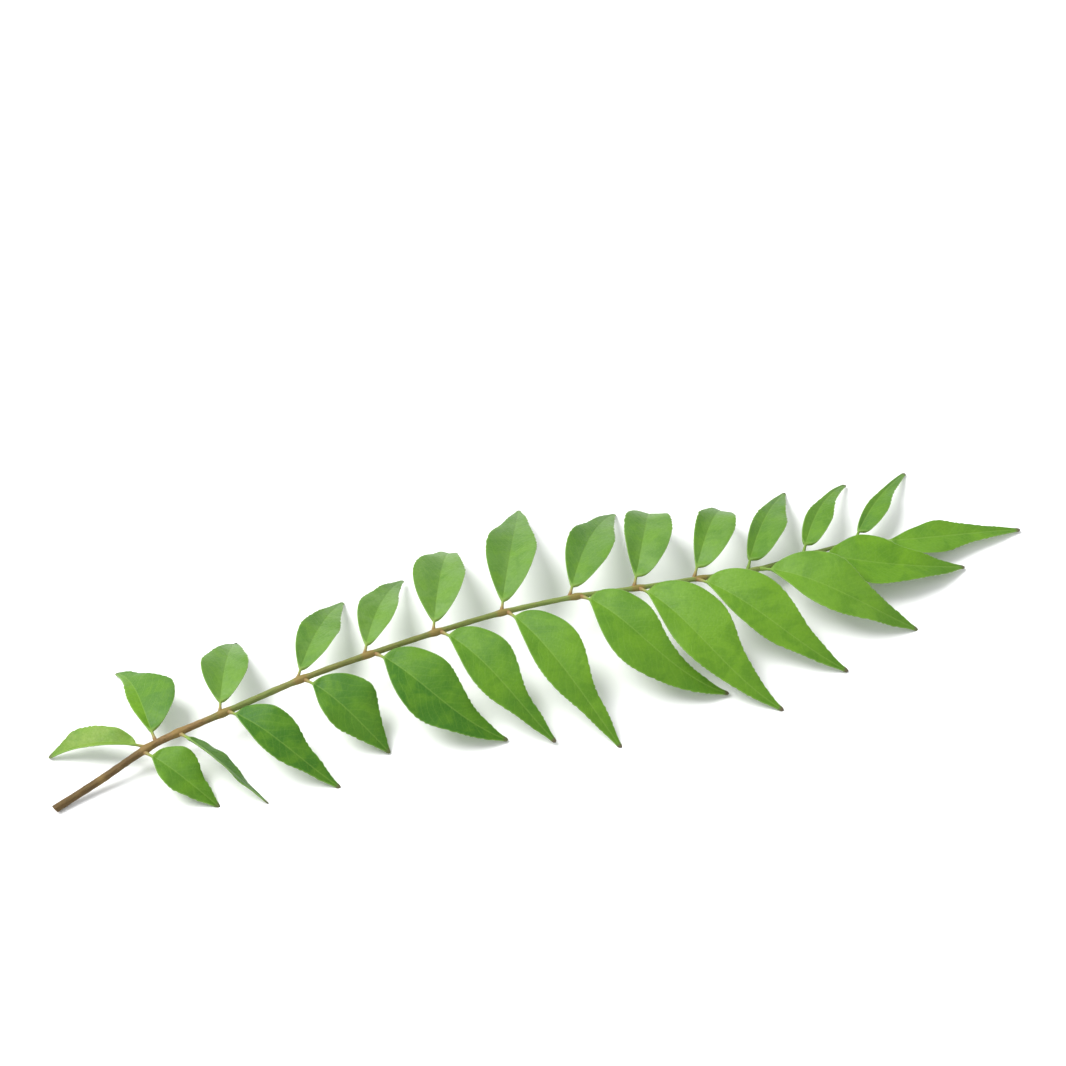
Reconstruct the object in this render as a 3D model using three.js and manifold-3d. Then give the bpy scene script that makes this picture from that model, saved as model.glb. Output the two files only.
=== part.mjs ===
// One cut curry leaf frond lying on a table: a thin arched rachis with leaflets in near-opposite pairs.
// Millimetres, +Z up. The frond is laid out from its cut end along +X, then moved so that its box is centred.
import * as THREE from 'three';
import { mergeVertices } from 'three/addons/utils/BufferGeometryUtils.js';
import Module from 'manifold-3d';

const wasm = await Module();
wasm.setup();

// Driving dimensions of the frond
const BOX_CENTRE = [123.7, 6.9]; // middle of the frond's outline, measured from its cut end
const RACHIS_RADIUS = [0.95, 0.68, 0.45]; // at the cut end, half-way and at the last knot
const KNOT_SWELLING = 0.22; // how far a knot stands out from the rachis
const CUT_HEIGHT = 0.9; // the rachis axis above the table where it was cut
const STALK_LENGTH = 3;
const STALK_THICKNESS = 0.9;

// Driving dimensions of every blade
const BLADE_THICKNESS = 0.7;
const FOLD_FADE = 0.85; // share of its fold that a blade has lost at its tip
const HALF_CAMBER = 0.012; // how much each half bends down again, per mm
const SCALLOP_SHARE = 0.03; // how far the scalloped margin swings, as a share of the half width
const TIP_POINT = 1.25; // how sharply a margin runs in to the tip

// How finely the solid is divided
const SPAN_STEPS = 3; // rings of the rachis between two knots
const RACHIS_SIDES = 8;
const STALK_STEPS = 2;
const BLADE_STEPS = 15;
const ACROSS = [-1, -0.52, 0, 0.52, 1]; // places across a blade, from its right margin to its left one
const MIDRIB_STEPS = 60;
const WELD = 1e-5; // corners closer than this are one
const ROOM = 600; // side of the space above the table, far larger than the frond

const FAR = 1; // the +Y side of the rachis
const NEAR = -1;

// Knots of the rachis: distance along X from the cut end, sideways, and height of the axis above the table
const KNOTS = [
  [0, 0, CUT_HEIGHT], [12, 3, 2.6], [24, 5.6, 5.5], [32, 6.7, 6.4],
  [43.5, 7.6, 7.5], [63, 9, 9.5], [80, 9.5, 10.5], [97, 9.4, 11.5],
  [114.1, 9.3, 11.6], [132.3, 8, 11.1], [147.6, 5.9, 10.1], [163.5, 4.2, 8.9],
  [177.4, 3.2, 7.2], [193, 4.8, 4.9], [207.4, 5.6, 2.9], [213.3, 3.8, 2.4],
].map((knot) => new THREE.Vector3(...knot));

// The two rows and the end leaflet: side of the rachis, degrees that each half rises from the midrib, and how
// each half runs: where it is widest, how blunt its base is and how drawn-out its tip is. The front half faces
// the frond's tip, and the back half its cut end.
const FAR_ROW = { side: FAR, fold: 24, front: [0.36, 0.55, 0.22], back: [0.4, 0.8, 0.2] };
const NEAR_ROW = { side: NEAR, fold: 16, front: [0.33, 0.5, 0.25], back: [0.43, 0.95, 0.15] };
const END_ROW = { side: NEAR, fold: 12, front: [0.36, 0.9, 0.2], back: [0.26, 0.75, 0.3] };

// Leaflets. Columns: knot, how far ahead of it, blade length, width in front of the midrib and behind it,
// angle from the rachis at base, middle and tip, pitch at base, middle and tip, roll, and then, for a blade
// with an outline of its own, its front and its back one. Degrees; a positive roll lifts the front edge.
const FAR_LEAFLETS = [
  [2, 0.4, 22.2, 4.8, 1.2, [138, 145, 156], [14, -12, -34], 0, [0.6, 0.5, 0.2]],
  [2, 2.6, 27, 9.2, 3.0, [84, 80, 102], [16, -11, -36], 0, [0.4, 0.6, 0.3]],
  [4, -1.0, 28, 6.0, 6.0, [65, 61, 60], [22, -15, -50], 0],
  [5, -1.0, 33, 5.9, 4.6, [52, 50, 48], [15, -17, -36], 0],
  [6, -1.0, 32, 5.0, 5.0, [60, 54, 46], [15, -17, -36], 0],
  [7, -0.6, 37, 6.5, 7.1, [66, 63, 62], [18, -16, -60], 0],
  [8, -0.4, 43.5, 6.8, 6.5, [65, 65, 69], [18, -16, -36], 0],
  [9, -1.6, 39, 7.2, 5.1, [62, 57, 49], [16, -17, -38], 0, [0.36, 0.46, 0.22]],
  [10, -1.0, 34, 7.2, 5.6, [63, 67, 67], [24, -12, -75], 0, [0.38, 0.42, 0.05], [0.5, 0.8, 0.1]],
  [11, -1.8, 31.5, 6.8, 3.9, [58, 56, 49], [25, -11, -74], 0, [0.36, 0.42, 0.1], [0.5, 0.8, 0.1]],
  [12, -1.9, 34, 6.5, 2.7, [54, 48, 44], [21, -15, -31], 0, [0.34, 0.34, 0.22], [0.4, 0.5, 0.2]],
  [13, -1.8, 29, 4.7, 2.4, [50, 40, 26], [19, -9, -28], 0, [0.29, 0.3, 0.27], [0.3, 0.45, 0.4]],
  [14, -1.5, 28, 4.5, 1.6, [48, 41, 38], [22, -7, -23], 0, [0.27, 0.3, 0.3], [0.3, 0.45, 0.4]],
];
const NEAR_LEAFLETS = [
  [2, -1.2, 20.2, 6.4, 4.6, [66, 66, 60], [12, -16, -28], 0],
  [3, 0.0, 25, 5.0, 4.0, [65, 64, 59], [17, -17, -24], -50],
  [4, 0.8, 31, 6.8, 4.6, [62, 58, 48], [29, -20, -26], 0],
  [5, 0.5, 25, 8.6, 5.6, [58, 62, 54], [12, -22, -38], 6, [0.42, 0.6, 0.2]],
  [6, 1.5, 36.5, 8.2, 7.8, [58, 57, 24], [15, -19, -26], 8],
  [7, 1.0, 37, 7.6, 5.6, [60, 66, 56], [17, -19, -32], 8, [0.31, 0.5, 0.42]],
  [8, 1.0, 42, 8.1, 5.3, [69, 70, 65], [17, -19, -32], 6, [0.31, 0.5, 0.38]],
  [9, 1.0, 42, 7.2, 8.6, [51, 54, 15], [21, -19, -23], 8, [0.26, 0.46, 0.4]],
  [10, 0.2, 44.8, 9.8, 5.7, [58, 60, 36], [20, -17, -22], 12],
  [11, -1.2, 41.3, 8.8, 5.2, [50, 51, 30], [18, -15, -24], 12],
  [12, 1.4, 40, 8.6, 6.2, [44, 46, 23], [22, -11, -33], 10, [0.33, 0.7, 0.25]],
  [13, 2.0, 36, 8.1, 7.4, [54, 28, 3], [11, -5, -24], 2, [0.28, 0.6, 0.2], [0.34, 0.9, 0.2]],
];
const END_LEAFLET = [15, -1.6, 34, 4.8, 6.0, [11, -7, -8], [11, -4, -10], 0];

function leafletOf({ side, fold, front, back }) {
  return ([knot, ahead, length, frontWidth, backWidth, turn, pitch, roll, frontOutline, backOutline]) => ({
    knot, ahead, length, turn, pitch, roll, side, fold,
    front: { width: frontWidth, outline: frontOutline ?? front },
    back: { width: backWidth, outline: backOutline ?? back },
  });
}

const LEAFLETS = [
  ...FAR_LEAFLETS.map(leafletOf(FAR_ROW)),
  ...NEAR_LEAFLETS.map(leafletOf(NEAR_ROW)),
  leafletOf(END_ROW)(END_LEAFLET),
];

const radians = THREE.MathUtils.degToRad;
const rachisCurve = new THREE.CatmullRomCurve3(KNOTS, false, 'catmullrom');

// A value that passes through three given ones at shares 0, 0.5 and 1
function throughThree([first, middle, last], share) {
  const rest = 1 - share;
  return first * rest * (rest - share) + 4 * middle * share * rest + last * share * (share - rest);
}

// A unit direction from a heading in the XY plane and a pitch above it
function direction(heading, pitch) {
  const level = Math.cos(pitch);
  return new THREE.Vector3(level * Math.cos(heading), level * Math.sin(heading), Math.sin(pitch));
}

// Left and upward directions of something that travels with this heading and pitch
function sidesOf(heading, forward) {
  const left = new THREE.Vector3(-Math.sin(heading), Math.cos(heading), 0);
  return { left, up: new THREE.Vector3().crossVectors(forward, left) };
}

function geometryFrom(points, faces) {
  const geometry = new THREE.BufferGeometry();
  geometry.setAttribute('position', new THREE.Float32BufferAttribute(points.flatMap((p) => p.toArray()), 3));
  geometry.setIndex(faces.flat());
  return geometry;
}

// A closed tube through a list of stations, each with a centre, left and up directions and a radius
function tubeGeometry(stations, sides) {
  const points = stations.flatMap(({ centre, left, up, radius }) =>
    Array.from({ length: sides }, (_, side) => {
      const angle = (2 * Math.PI * (side + 0.5)) / sides;
      return centre.clone()
        .addScaledVector(left, radius * Math.sin(angle))
        .addScaledVector(up, -radius * Math.cos(angle));
    }));
  const at = (station, side) => station * sides + (side % sides);
  const faces = [];
  for (let station = 0; station < stations.length - 1; station++) {
    for (let side = 0; side < sides; side++) {
      faces.push([at(station, side), at(station + 1, side + 1), at(station + 1, side)]);
      faces.push([at(station, side), at(station, side + 1), at(station + 1, side + 1)]);
    }
  }
  const last = stations.length - 1;
  for (let side = 1; side < sides - 1; side++) {
    faces.push([at(0, 0), at(0, side + 1), at(0, side)]);
    faces.push([at(last, 0), at(last, side), at(last, side + 1)]);
  }
  return geometryFrom(points, faces);
}

// The rachis, with a ring of its tube at every knot, where it swells a little
function rachisGeometry() {
  const spans = KNOTS.length - 1;
  const stations = Array.from({ length: spans * SPAN_STEPS + 1 }, (_, ring) => {
    const share = ring / (spans * SPAN_STEPS);
    const forward = rachisCurve.getTangent(share);
    const heading = Math.atan2(forward.y, forward.x);
    const isKnot = ring > SPAN_STEPS && ring % SPAN_STEPS === 0;
    const radius = throughThree(RACHIS_RADIUS, share) + (isKnot ? KNOT_SWELLING : 0);
    return { centre: rachisCurve.getPoint(share), ...sidesOf(heading, forward), radius };
  });
  return tubeGeometry(stations, RACHIS_SIDES);
}

// Where a leaflet's stalk leaves the rachis, and the rachis's heading there
function rootOf(leaflet) {
  const share = leaflet.knot / (KNOTS.length - 1);
  const tangent = rachisCurve.getTangent(share);
  const centre = rachisCurve.getPoint(share).addScaledVector(tangent, leaflet.ahead);
  return { centre, heading: Math.atan2(tangent.y, tangent.x) };
}

// The line of a leaflet's stalk and midrib, as stations at equal steps from the rachis to the tip
function midribStations(leaflet) {
  const root = rootOf(leaflet);
  const step = (STALK_LENGTH + leaflet.length) / MIDRIB_STEPS;
  const centre = root.centre.clone();
  return Array.from({ length: MIDRIB_STEPS + 1 }, (_, index) => {
    const share = index / MIDRIB_STEPS;
    const heading = root.heading + leaflet.side * radians(throughThree(leaflet.turn, share));
    const forward = direction(heading, radians(throughThree(leaflet.pitch, share)));
    if (index > 0) {
      centre.addScaledVector(forward, step);
    }
    return { centre: centre.clone(), ...sidesOf(heading, forward) };
  });
}

// A station part-way between two of the list, at a distance from the rachis
function stationAt(stations, leaflet, distance) {
  const place = (distance / (STALK_LENGTH + leaflet.length)) * MIDRIB_STEPS;
  const index = Math.min(Math.floor(place), MIDRIB_STEPS - 1);
  const [here, next] = [stations[index], stations[index + 1]];
  const mixed = (key) => here[key].clone().lerp(next[key], place - index);
  return { centre: mixed('centre'), left: mixed('left'), up: mixed('up') };
}

// Share of its full width that a half blade has at a share of its length
function halfOutline([widest, bluntness, drawnOut], share) {
  if (share < widest) {
    return Math.sin((Math.PI / 2) * (share / widest)) ** bluntness;
  }
  const beyond = (share - widest) / (1 - widest);
  const narrowing = Math.cos((Math.PI / 2) * Math.min(beyond, 1)) ** TIP_POINT;
  return narrowing * (1 - drawnOut * Math.sin(Math.PI * beyond) ** 2);
}

// Half width of one side of a leaflet: the stalk's up to the blade, then the blade's with its scallops
function halfWidth(leaflet, isFront, step) {
  const bladeStep = step - STALK_STEPS;
  if (bladeStep <= 0) {
    return STALK_THICKNESS / 2;
  }
  const { width, outline } = isFront ? leaflet.front : leaflet.back;
  const plain = width * halfOutline(outline, bladeStep / BLADE_STEPS);
  const swing = SCALLOP_SHARE * (bladeStep % 2 === 0 ? -1 : 1);
  return Math.max(plain * (1 + swing), STALK_THICKNESS / 2);
}

// Distance from the rachis and thickness of a leaflet at one of its steps
function stepAlong(leaflet, step) {
  if (step < STALK_STEPS) {
    return { distance: (STALK_LENGTH * step) / STALK_STEPS, thickness: STALK_THICKNESS };
  }
  const share = (step - STALK_STEPS) / BLADE_STEPS;
  const distance = STALK_LENGTH + leaflet.length * share;
  return { distance, thickness: share === 0 ? STALK_THICKNESS : BLADE_THICKNESS };
}

// A leaflet as one thin arched sheet: a narrow stalk, then a blade folded at its midrib
function leafletGeometry(leaflet) {
  const midrib = midribStations(leaflet);
  const roll = radians(-leaflet.side * leaflet.roll);
  const points = [];
  for (let step = 0; step <= STALK_STEPS + BLADE_STEPS; step++) {
    const { distance, thickness } = stepAlong(leaflet, step);
    const share = distance / (STALK_LENGTH + leaflet.length);
    const fold = radians(leaflet.fold * (1 - FOLD_FADE * share ** 2));
    const { centre, left, up } = stationAt(midrib, leaflet, distance);
    const tiltedLeft = left.clone().multiplyScalar(Math.cos(roll)).addScaledVector(up, Math.sin(roll));
    const tiltedUp = up.clone().multiplyScalar(Math.cos(roll)).addScaledVector(left, -Math.sin(roll));
    for (const across of ACROSS) {
      const reach = halfWidth(leaflet, across * leaflet.side < 0, step) * Math.abs(across);
      const middle = centre.clone()
        .addScaledVector(tiltedLeft, Math.sign(across) * reach * Math.cos(fold))
        .addScaledVector(tiltedUp, reach * Math.sin(fold) - HALF_CAMBER * reach * reach);
      points.push(middle.clone().addScaledVector(tiltedUp, thickness / 2));
      points.push(middle.clone().addScaledVector(tiltedUp, -thickness / 2));
    }
  }
  return geometryFrom(points, sheetFaces(STALK_STEPS + BLADE_STEPS, ACROSS.length - 1));
}

// Faces of a closed sheet whose points are listed by step, then across, then top before bottom
function sheetFaces(steps, strips) {
  const top = (step, strip) => 2 * (step * (strips + 1) + strip);
  const bottom = (step, strip) => top(step, strip) + 1;
  const faces = [];
  const quad = (a, b, c, d) => faces.push([a, b, c], [a, c, d]);
  for (let step = 0; step < steps; step++) {
    for (let strip = 0; strip < strips; strip++) {
      quad(top(step, strip), top(step + 1, strip), top(step + 1, strip + 1), top(step, strip + 1));
      const [a, b] = [bottom(step, strip), bottom(step + 1, strip)];
      const [c, d] = [bottom(step + 1, strip + 1), bottom(step, strip + 1)];
      faces.push([a, c, b], [a, d, c]);
    }
    quad(bottom(step, 0), bottom(step + 1, 0), top(step + 1, 0), top(step, 0));
    quad(top(step, strips), top(step + 1, strips), bottom(step + 1, strips), bottom(step, strips));
  }
  for (let strip = 0; strip < strips; strip++) {
    quad(top(0, strip), top(0, strip + 1), bottom(0, strip + 1), bottom(0, strip));
    quad(bottom(steps, strip), bottom(steps, strip + 1), top(steps, strip + 1), top(steps, strip));
  }
  return faces;
}

function solidFrom(geometry) {
  const bare = geometry.clone();
  bare.deleteAttribute('normal');
  bare.deleteAttribute('uv');
  const merged = mergeVertices(bare, WELD);
  return new wasm.Manifold(new wasm.Mesh({
    numProp: 3,
    vertProperties: new Float32Array(merged.attributes.position.array),
    triVerts: new Uint32Array(merged.index.array),
  }));
}

function geometryOf(solid) {
  const { vertProperties, triVerts } = solid.getMesh();
  const geometry = new THREE.BufferGeometry();
  geometry.setAttribute('position', new THREE.BufferAttribute(new Float32Array(vertProperties), 3));
  geometry.setIndex([...triVerts]);
  geometry.computeVertexNormals();
  return geometry;
}

// All the space above the table, which gives whatever touches it a small flat spot
function aboveTable() {
  const box = new THREE.BoxGeometry(ROOM, ROOM, ROOM);
  box.translate(0, 0, ROOM / 2);
  return solidFrom(box);
}

// The whole frond grown together: the rachis, and on it every leaflet
function frondGeometry() {
  let frond = solidFrom(rachisGeometry());
  for (const leaflet of LEAFLETS) {
    frond = frond.add(solidFrom(leafletGeometry(leaflet)));
  }
  return geometryOf(frond.intersect(aboveTable()));
}

function frondMesh() {
  const material = new THREE.MeshStandardMaterial({ color: 0x6aa533, roughness: 0.5, metalness: 0 });
  const mesh = new THREE.Mesh(frondGeometry(), material);
  mesh.name = 'frond';
  mesh.position.set(-BOX_CENTRE[0], -BOX_CENTRE[1], 0);
  return mesh;
}

const curryLeafSprig = new THREE.Group();
curryLeafSprig.add(frondMesh());

export default curryLeafSprig;
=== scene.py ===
"""Curry leaf sprig: one cut frond on a plain pale floor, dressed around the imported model.

Shapes are worked out in millimetres, from the cut end along +X, and are moved into the frame as they are
built.
"""
import math
import random
from collections import namedtuple

import bpy
import numpy as np
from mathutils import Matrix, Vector


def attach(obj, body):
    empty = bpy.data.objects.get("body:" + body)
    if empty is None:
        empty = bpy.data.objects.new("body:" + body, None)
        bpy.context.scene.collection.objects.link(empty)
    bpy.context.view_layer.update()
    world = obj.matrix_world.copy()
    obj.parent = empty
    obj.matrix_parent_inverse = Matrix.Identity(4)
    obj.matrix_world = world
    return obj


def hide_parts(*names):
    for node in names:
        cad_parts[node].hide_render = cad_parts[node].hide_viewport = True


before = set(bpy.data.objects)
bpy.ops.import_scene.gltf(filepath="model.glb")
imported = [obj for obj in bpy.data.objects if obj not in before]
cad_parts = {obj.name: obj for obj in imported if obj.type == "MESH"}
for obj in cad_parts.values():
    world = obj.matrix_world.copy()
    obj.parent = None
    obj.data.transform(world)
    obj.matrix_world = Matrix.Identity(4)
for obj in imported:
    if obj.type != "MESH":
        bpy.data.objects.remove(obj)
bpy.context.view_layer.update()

MM = 0.001

# ---------------------------------------------------------------- dimensions, in millimetres and degrees
BOX_CENTRE = np.array([123.7, 6.9, 0.0])
LOWEST = (-np.inf, -np.inf, 0.02)

# The rachis: its radius at the cut, the middle and the tip, its knots, ribs and end, and the slanting cut.
# Here and below, a swell, drift, variation or wander is a sine wave: its size, the radians that it turns
# from one place to the next and how many times its start it is ahead
RACHIS_RADIUS = (0.95, 0.68, 0.45)
KNOT_SWELLING = 0.22
FIRST_KNOT_SHARE = 0.4
KNOT_LENGTH = 1.5
SLOW_SWELL, QUICK_SWELL = (0.025, 0.9, 0), (0.02, 2.3, 1)
RIBS = 5
RIB_DEPTH = 0.03
RIB_TWIST = 0.02
BARK_DEPTH = 0.03
RACHIS_END = 0.6
RACHIS_END_LEAST = 0.01
CUT_HEIGHT = 0.9
CUT_SLANT = -0.35
CUT_SLANT_LENGTH = 4
CUT_EDGE_ANGLE = 50

# Rings of the cut face from its middle out, as shares of the radius, and how far each lies inside the stalk
CUT_FACE = ((0.12, 0.14), (0.4, 0.08), (0.74, 0.05), (0.8, 0.03), (0.97, 0.0))

# A leaflet's stalk, which is thicker at its foot and green from the younger of these two knots on
STALK_LENGTH = 3.0
STALK_RADIUS = 0.36
STALK_SWELLING = 0.2
STALK_FOOT = (0.6, 2.2)
YOUNG_KNOTS = (10.8, 12.0)

# The blade: its fold at the midrib, which fades towards the tip, its camber, thickness, tip and waves. Each
# half has two waves, given by their turns in radians along the blade
FOLD_FADE = 0.85
FOLD_ROUNDING = 0.5
HALF_CAMBER = 0.012
BLADE_THICKNESS = 0.3
TIP_RADIUS = 0.6
TIP_POINT = 1.25
TIP_ROUNDING = 1.6 * TIP_RADIUS
TIP_LEAST = 0.004
TIP_DROOP = 0.2
WAVE_HEIGHT = 0.28
FRONT_WAVES, BACK_WAVES = (11, 23), (12, 21)
SECOND_WAVE_SHARE = 0.6

# The scallops of the margin
TOOTH_LENGTH = 1.6
TOOTH_DEPTH = 0.21
TOOTH_LEAN = 0.75
TOOTH_MIDDLE = 0.6
TOOTH_DRIFT = (0.35, 0.71, 9)
TOOTH_VARIATION = (0.5, 2.3, 7)

# The side veins, sunk on top and raised below, and the midrib
VEIN_SPACING = 2.6
VEIN_LEAN = 0.9
VEIN_CURVE = 0.05
VEIN_STAGGER = 0.47
VEIN_WANDER = (0.25, 0.63, 5)
VEIN_WIDTH_SHARE = 0.13
VEIN_SINK = 0.035
VEIN_RISE = 0.04
MIDRIB_WIDTH = 0.3
MIDRIB_SINK = 0.07
MIDRIB_RISE = 0.28
MIDRIB_TAPER = 0.6

# Where each thing comes in or fades out: along the blade as shares of its length, across it in millimetres
BLADE_START = (0, 0.07)
TEETH_START, TEETH_WIDTH = (0.22, 0.5), (0.3, 2.2)
WAVE_START, WAVE_WIDTH = (0.05, 0.25), (0.5, 3.5)
MIDRIB_END = (0.9, 1.0)
SINK_FROM_MIDRIB, SINK_FROM_RIM = (0.3, 1.5), (0.2, 1.2)
RISE_FROM_MIDRIB, RISE_FROM_RIM = (0.3, 1.0), (0.05, 0.5)

# Fineness of the meshes
MIDRIB_STEPS = 60
STALK_RINGS = 10
BLADE_RINGS = 118
RING_CROWDING = 0.97
HALF_ACROSS = 17
COLUMN_CROWDING = 0.72
RIM_POWER = 7
RACHIS_RINGS_PER_SPAN = 22
RACHIS_SIDES = 28

KNOTS = np.array([
    (0, 0, CUT_HEIGHT), (12, 3, 2.6), (24, 5.6, 5.5), (32, 6.7, 6.4),
    (43.5, 7.6, 7.5), (63, 9, 9.5), (80, 9.5, 10.5), (97, 9.4, 11.5),
    (114.1, 9.3, 11.6), (132.3, 8, 11.1), (147.6, 5.9, 10.1), (163.5, 4.2, 8.9),
    (177.4, 3.2, 7.2), (193, 4.8, 4.9), (207.4, 5.6, 2.9), (213.3, 3.8, 2.4),
], dtype=float)

# Side of the rachis, rise of each half from the midrib, and how each half runs: where it is widest, how
# blunt its base is and how drawn-out its tip is
Row = namedtuple("Row", "side fold front_outline back_outline")
FAR = Row(1, 24, (0.36, 0.55, 0.22), (0.4, 0.8, 0.2))
NEAR = Row(-1, 16, (0.33, 0.5, 0.25), (0.43, 0.95, 0.15))
END = Row(-1, 12, (0.36, 0.9, 0.2), (0.26, 0.75, 0.3))
SLIM_BACK = (0.3, 0.45, 0.4)

# Knot, how far ahead of it, blade length, widths in front of and behind the midrib, turn and pitch at base,
# middle and tip, roll, paleness and freshness (or a pair, for front and back), browning of the tip. Paleness
# is partly the leaflet's own tone and partly painted whitish sheen, most on the far leaflets' front halves
Leaflet = namedtuple(
    "Leaflet",
    "row knot ahead length front_width back_width turn pitch roll paleness freshness browning"
    " front_outline back_outline")


def leaflet(row, *values, front_outline=None, back_outline=None):
    """A leaflet, with its row's outline for each half that has none of its own."""
    return Leaflet(row, *values, front_outline or row.front_outline, back_outline or row.back_outline)


FAR_LEAFLETS = [
    leaflet(FAR, 2, 0.4, 22.2, 4.8, 1.2, (138, 145, 156), (14, -12, -34), 0, 1.6, 1, 0.7,
            front_outline=(0.6, 0.5, 0.2)),
    leaflet(FAR, 2, 2.6, 27, 9.2, 3.0, (84, 80, 102), (16, -11, -36), 0, (0.2, 0.0), (0.1, 0.85), 0.5,
            front_outline=(0.4, 0.6, 0.3)),
    leaflet(FAR, 4, -1.0, 28, 6.0, 6.0, (65, 61, 60), (22, -15, -50), 0, 0.9, 0.2, 0.3),
    leaflet(FAR, 5, -1.0, 33, 5.9, 4.6, (52, 50, 48), (15, -17, -36), 0, 0.85, 0.2, 0.3),
    leaflet(FAR, 6, -1.0, 32, 5.0, 5.0, (60, 54, 46), (15, -17, -36), 0, 1.0, 0.3, 0.3),
    leaflet(FAR, 7, -0.6, 37, 6.5, 7.1, (66, 63, 62), (18, -16, -60), 0, 0.95, 0.3, 0.3),
    leaflet(FAR, 8, -0.4, 43.5, 6.8, 6.5, (65, 65, 69), (18, -16, -36), 0, 0.85, 0.3, 0.4),
    leaflet(FAR, 9, -1.6, 39, 7.2, 5.1, (62, 57, 49), (16, -17, -38), 0, (0.7, 0.58), 0.2, 0.3,
            front_outline=(0.36, 0.46, 0.22)),
    leaflet(FAR, 10, -1.0, 34, 7.2, 5.6, (63, 67, 67), (24, -12, -75), 0, (0.77, 0.7), 0.25, 0.3,
            front_outline=(0.38, 0.42, 0.05), back_outline=(0.5, 0.8, 0.1)),
    leaflet(FAR, 11, -1.8, 31.5, 6.8, 3.9, (58, 56, 49), (25, -11, -74), 0, (0.68, 0.55), 0.35, 0.4,
            front_outline=(0.36, 0.42, 0.1), back_outline=(0.5, 0.8, 0.1)),
    leaflet(FAR, 12, -1.9, 34, 6.5, 2.7, (54, 48, 44), (21, -15, -31), 0, 0.3, 0.4, 0.5,
            front_outline=(0.34, 0.34, 0.22), back_outline=(0.4, 0.5, 0.2)),
    leaflet(FAR, 13, -1.8, 29, 4.7, 2.4, (50, 40, 26), (19, -9, -28), 0, 0.3, 0.6, 0.7,
            front_outline=(0.29, 0.3, 0.27), back_outline=SLIM_BACK),
    leaflet(FAR, 14, -1.5, 28, 4.5, 1.6, (48, 41, 38), (22, -7, -23), 0, 0.3, 0.4, 0.7,
            front_outline=(0.27, 0.3, 0.3), back_outline=SLIM_BACK),
]
NEAR_LEAFLETS = [
    leaflet(NEAR, 2, -1.2, 20.2, 6.4, 4.6, (66, 66, 60), (12, -16, -28), 0, 0.15, 0.5, 0.7),
    leaflet(NEAR, 3, 0.0, 25, 5.0, 4.0, (65, 64, 59), (17, -17, -24), -50, 0.0, 0.1, 0.8),
    leaflet(NEAR, 4, 0.8, 31, 6.8, 4.6, (62, 58, 48), (29, -20, -26), 0, 0.0, -0.3, 0.9),
    leaflet(NEAR, 5, 0.5, 25, 8.6, 5.6, (58, 62, 54), (12, -22, -38), 6, 0.1, 0.2, 0.7,
            front_outline=(0.42, 0.6, 0.2)),
    leaflet(NEAR, 6, 1.5, 36.5, 8.2, 7.8, (58, 57, 24), (15, -19, -26), 8, 0.0, (0.3, -0.05), 0.8),
    leaflet(NEAR, 7, 1.0, 37, 7.6, 5.6, (60, 66, 56), (17, -19, -32), 8, 0.05, 0.45, 1.0,
            front_outline=(0.31, 0.5, 0.42)),
    leaflet(NEAR, 8, 1.0, 42, 8.1, 5.3, (69, 70, 65), (17, -19, -32), 6, 0.1, 0.75, 1.0,
            front_outline=(0.31, 0.5, 0.38)),
    leaflet(NEAR, 9, 1.0, 42, 7.2, 8.6, (51, 54, 15), (21, -19, -23), 8, 0.05, 0.62, 0.9,
            front_outline=(0.26, 0.46, 0.4)),
    leaflet(NEAR, 10, 0.2, 44.8, 9.8, 5.7, (58, 60, 36), (20, -17, -22), 12, 0.1, 0.9, 1.0),
    leaflet(NEAR, 11, -1.2, 41.3, 8.8, 5.2, (50, 51, 30), (18, -15, -24), 12, 0.1, 1.0, 1.0),
    leaflet(NEAR, 12, 1.4, 40, 8.6, 6.2, (44, 46, 23), (22, -11, -33), 10, 0.2, 1, 0.8,
            front_outline=(0.33, 0.7, 0.25)),
    leaflet(NEAR, 13, 2.0, 36, 8.1, 7.4, (54, 28, 3), (11, -5, -24), 2, 0.0, 0.82, 0.9,
            front_outline=(0.28, 0.6, 0.2), back_outline=(0.34, 0.9, 0.2)),
]
END_LEAFLET = leaflet(END, 15, -1.6, 34, 4.8, 6.0, (11, -7, -8), (11, -4, -10), 0, 0.1, 0.8, 1.0)


# ---------------------------------------------------------------- small maths
def through_three(values, share):
    """A value that passes through three given ones at shares 0, 0.5 and 1."""
    first, middle, last = values
    rest = 1 - share
    return first * rest * (rest - share) + 4 * middle * share * rest + last * share * (share - rest)


def smooth(low, high, value):
    """0 below low, 1 above high, eased between them."""
    t = np.clip((np.asarray(value, dtype=float) - low) / (high - low), 0, 1)
    return t * t * (3 - 2 * t)


def swing(wave_form, place, start=1):
    """A sine wave at places, for its size, its turn from one place to the next and how far it is ahead."""
    size, turn, ahead = wave_form
    return size * np.sin(place * turn + ahead * start)


def unit(vectors):
    """The same directions with length 1."""
    return vectors / np.linalg.norm(vectors, axis=-1, keepdims=True)


def rounded_end(to_end, length, least):
    """Share of its width that a round-ended shape keeps near its end. least is that share's lowest square."""
    near = 1 - np.clip(to_end / length, 0, 1)
    return np.sqrt(np.maximum(1 - near ** 2, least))


def rachis_point(share):
    """A point of the rachis axis, at a share of the knots passed."""
    passed = share * (len(KNOTS) - 1)
    first = min(int(passed), len(KNOTS) - 2)
    t = passed - first
    p1, p2 = KNOTS[first], KNOTS[first + 1]
    p0 = KNOTS[first - 1] if first > 0 else 2 * p1 - p2
    p3 = KNOTS[first + 2] if first + 2 < len(KNOTS) else 2 * p2 - p1
    m1, m2 = (p2 - p0) / 2, (p3 - p1) / 2
    return (p1 + t * m1 + t * t * (3 * (p2 - p1) - 2 * m1 - m2)
            + t ** 3 * (2 * (p1 - p2) + m1 + m2))


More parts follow.
